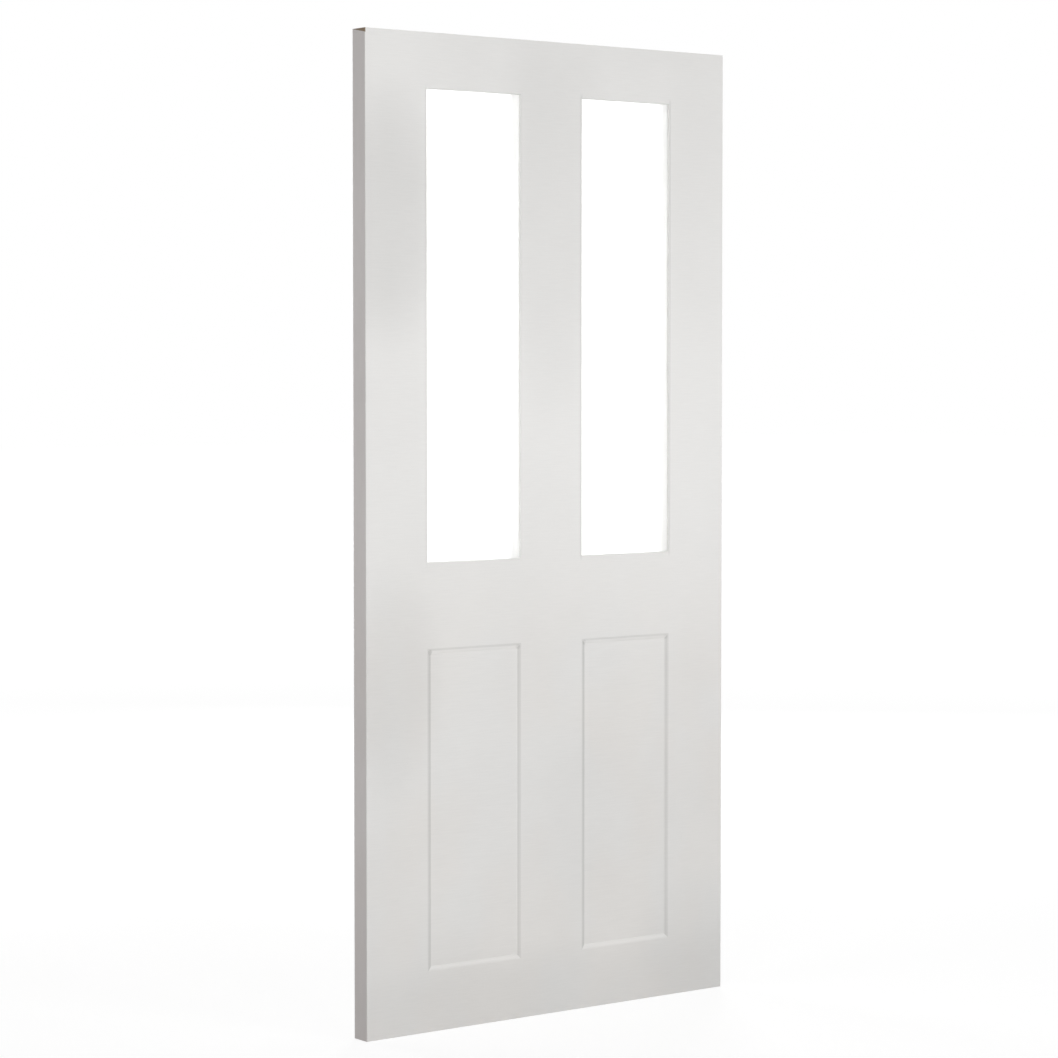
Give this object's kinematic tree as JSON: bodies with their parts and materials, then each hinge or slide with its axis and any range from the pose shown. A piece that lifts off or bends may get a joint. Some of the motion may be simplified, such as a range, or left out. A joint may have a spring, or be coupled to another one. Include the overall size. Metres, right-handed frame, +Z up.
{
  "type": "glazed interior door leaf",
  "caption": "Stile-and-rail interior door leaf in white primer, with tall satin panes held by splayed beads above a middle rail and flat recessed panels with ovolo mouldings below.",
  "frame": {"origin": "foot of the hinge edge, in the middle of the leaf's thickness, on the flat face of the lipping", "axes": "+X across the leaf from the hinge edge to the lock edge, -Y out of the front face, +Z up"},
  "size_m": [0.915, 0.044, 1.981],
  "materials": {
    "primed_facing": "fibreboard facing in rolled white primer, bare at the ends",
    "primed_lipping": "timber lipping in white primer, bare at the ends",
    "primed_panel": "flat fibreboard panel in rolled white primer",
    "primed_bead": "splayed timber bead in white primer",
    "core_timber": "bare laminated softwood",
    "satin_glass": "etched, translucent toughened glass",
    "glazing_tape": "white foam glazing tape"
  },
  "bodies": {
    "root": {"bottom_rail_back_facing": "primed_facing", "bottom_rail_core": "core_timber", "bottom_rail_front_facing": "primed_facing", "left_pane": "satin_glass", "left_pane_back_tape": "glazing_tape", "left_pane_bottom_bead": "primed_bead", "left_pane_front_tape": "glazing_tape", "left_pane_left_bead": "primed_bead", "left_pane_right_bead": "primed_bead", "left_pane_top_bead": "primed_bead", "left_panel": "primed_panel", "left_stile_back_facing": "primed_facing", "left_stile_core": "core_timber", "left_stile_front_facing": "primed_facing", "left_stile_lipping": "primed_lipping", "lower_muntin_back_facing": "primed_facing", "lower_muntin_core": "core_timber", "lower_muntin_front_facing": "primed_facing", "middle_rail_back_facing": "primed_facing", "middle_rail_core": "core_timber", "middle_rail_front_facing": "primed_facing", "right_pane": "satin_glass", "right_pane_back_tape": "glazing_tape", "right_pane_bottom_bead": "primed_bead", "right_pane_front_tape": "glazing_tape", "right_pane_left_bead": "primed_bead", "right_pane_right_bead": "primed_bead", "right_pane_top_bead": "primed_bead", "right_panel": "primed_panel", "right_stile_back_facing": "primed_facing", "right_stile_core": "core_timber", "right_stile_front_facing": "primed_facing", "right_stile_lipping": "primed_lipping", "top_rail_back_facing": "primed_facing", "top_rail_core": "core_timber", "top_rail_front_facing": "primed_facing", "upper_muntin_back_facing": "primed_facing", "upper_muntin_core": "core_timber", "upper_muntin_front_facing": "primed_facing"}
  },
  "joints": []
}
